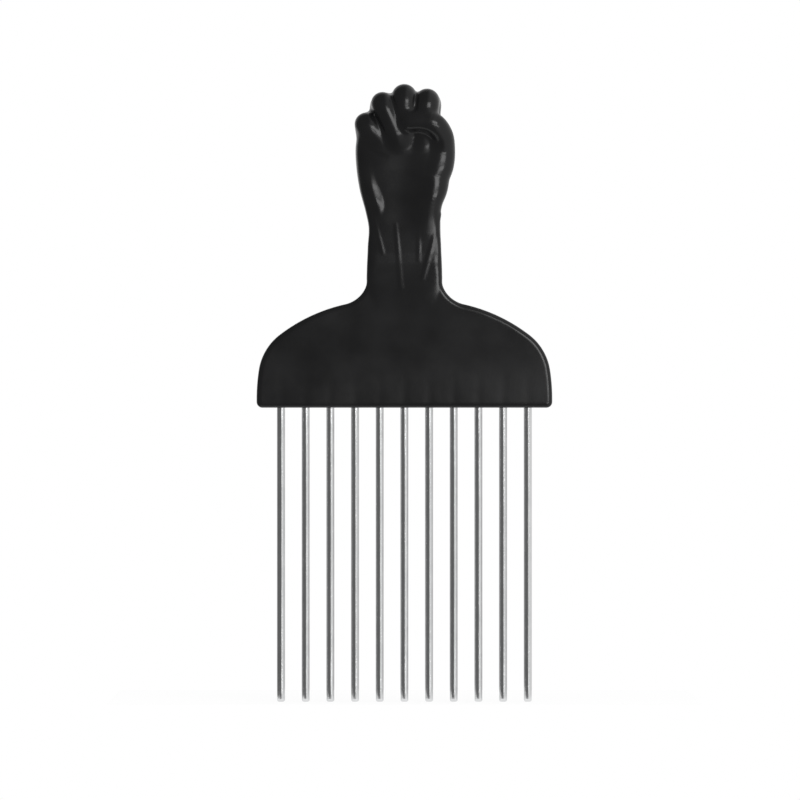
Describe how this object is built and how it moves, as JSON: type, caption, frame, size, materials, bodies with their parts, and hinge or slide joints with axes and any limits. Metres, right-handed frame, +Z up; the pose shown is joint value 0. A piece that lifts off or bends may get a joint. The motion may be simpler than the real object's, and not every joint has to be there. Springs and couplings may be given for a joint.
{
  "type": "afro pick",
  "caption": "Afro pick: a black plastic handle moulded as a raised fist and forearm on a half-moon base, with a row of straight round steel tines for lifting hair.",
  "frame": {"origin": "middle of the forearm, on the mid-plane of the base, where a hand grips the pick", "axes": "+Z runs up the forearm to the fist, away from the tips of the tines; -Y is the front, with the palm and the curled fingers; +X is the thumb's side, along the row of tines"},
  "size_m": [0.08, 0.0223, 0.1673],
  "materials": {
    "black_plastic": "gloss",
    "polished_steel": "polished"
  },
  "bodies": {
    "root": {"handle": "black_plastic", "tine_01": "polished_steel", "tine_02": "polished_steel", "tine_03": "polished_steel", "tine_04": "polished_steel", "tine_05": "polished_steel", "tine_06": "polished_steel", "tine_07": "polished_steel", "tine_08": "polished_steel", "tine_09": "polished_steel", "tine_10": "polished_steel", "tine_11": "polished_steel"}
  },
  "joints": []
}
